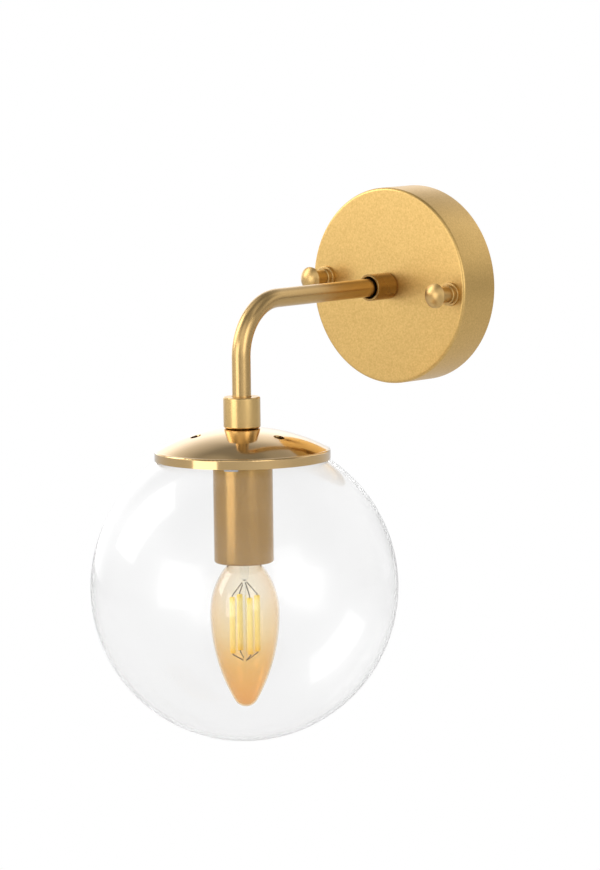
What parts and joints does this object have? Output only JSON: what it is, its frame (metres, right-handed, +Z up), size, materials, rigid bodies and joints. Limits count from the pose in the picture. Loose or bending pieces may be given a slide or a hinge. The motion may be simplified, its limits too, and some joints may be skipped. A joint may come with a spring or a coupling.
{
  "type": "globe wall sconce",
  "caption": "Wall sconce: a clear glass globe with a candle bulb hangs under a domed cap from a bent tube arm on a round wall canopy.",
  "frame": {"origin": "on the wall's surface, at the centre of the wall bracket and canopy, where the arm's axis meets the wall", "axes": "+Y goes into the wall, +Z is up, and the lamp stands out from the wall towards -Y"},
  "size_m": [0.155, 0.2178, 0.2725],
  "materials": {
    "satin_gold": "satin",
    "polished_gold": "polished",
    "clear_glass": "clear, gloss",
    "bulb_inner_glass": "clear, gloss",
    "amber_glass": "amber tint, gloss",
    "filament_yellow": "phosphor coat",
    "lead_metal": "plain",
    "cap_metal": "plain",
    "cap_insulator": "gloss",
    "zinc_steel": "zinc plated",
    "spring_steel": "plain",
    "bare_brass": "plain",
    "holder_plastic": "matt black",
    "block_plastic": "matt white",
    "seal_rubber": "soft, pale",
    "brown_wire": "smooth",
    "blue_wire": "smooth",
    "green_wire": "smooth"
  },
  "bodies": {
    "lamp": {"wall_canopy": "satin_gold", "arm_collar": "satin_gold", "arm_tube": "satin_gold", "stem_coupler": "satin_gold", "socket_cover": "satin_gold", "dome_cap": "polished_gold", "wall_bracket": "zinc_steel", "bracket_studs": "zinc_steel", "stud_lock_nuts": "zinc_steel", "wall_nipple": "zinc_steel", "wall_lock_washer": "zinc_steel", "wall_nipple_nut": "zinc_steel", "stem_nipple": "zinc_steel", "holder_nipple": "zinc_steel", "holder_nut": "zinc_steel", "terminal_block_screw": "zinc_steel", "terminal_clamp_screws": "zinc_steel", "glass_spring": "spring_steel", "earth_screw": "bare_brass", "earth_washer": "bare_brass", "terminal_clamps": "bare_brass", "holder_terminals": "bare_brass", "holder_shell_contact": "bare_brass", "holder_centre_contact": "bare_brass", "holder_cap": "holder_plastic", "holder_body": "holder_plastic", "terminal_block": "block_plastic", "seal_ring": "seal_rubber", "live_wire": "brown_wire", "neutral_wire": "blue_wire", "earth_wire": "green_wire"},
    "washer_left": {"thumb_washer_left": "satin_gold"},
    "nut_left": {"thumb_nut_left": "satin_gold"},
    "washer_right": {"thumb_washer_right": "satin_gold"},
    "nut_right": {"thumb_nut_right": "satin_gold"},
    "globe": {"globe_glass": "clear_glass"},
    "bulb": {"bulb_glass": "amber_glass", "bulb_mast": "bulb_inner_glass", "bulb_filaments": "filament_yellow", "bulb_lead_wires": "lead_metal", "bulb_screw_cap": "cap_metal", "bulb_button": "cap_metal", "bulb_insulator": "cap_insulator"}
  },
  "joints": [
    {"name": "nut_left_travel", "type": "slide", "parent": "lamp", "child": "washer_left", "axis": [0, -1, 0], "range_m": [0, 0.0099]},
    {"name": "nut_left_turn", "type": "hinge", "parent": "washer_left", "child": "nut_left", "pos_m": [-0.04192, -0.03, 0.00256], "axis": [0, -1, 0], "range_deg": [0, 5040]},
    {"name": "nut_right_travel", "type": "slide", "parent": "lamp", "child": "washer_right", "axis": [0, -1, 0], "range_m": [0, 0.0099]},
    {"name": "nut_right_turn", "type": "hinge", "parent": "washer_right", "child": "nut_right", "pos_m": [0.04192, -0.03, -0.00256], "axis": [0, -1, 0], "range_deg": [0, 5040]},
    {"name": "globe_drop", "type": "slide", "parent": "lamp", "child": "globe", "axis": [0, 0, -1], "range_m": [0, 0.135], "deforming": ["glass_spring"]},
    {"name": "bulb_draw", "type": "slide", "parent": "lamp", "child": "bulb", "axis": [0, 0, -1], "range_m": [0, 0.0127]}
  ],
  "couplings": [
    {"joint": "nut_left_travel", "follows": "nut_left_turn", "m_per_rad": 0.00011141},
    {"joint": "nut_right_travel", "follows": "nut_right_turn", "m_per_rad": 0.00011141}
  ]
}
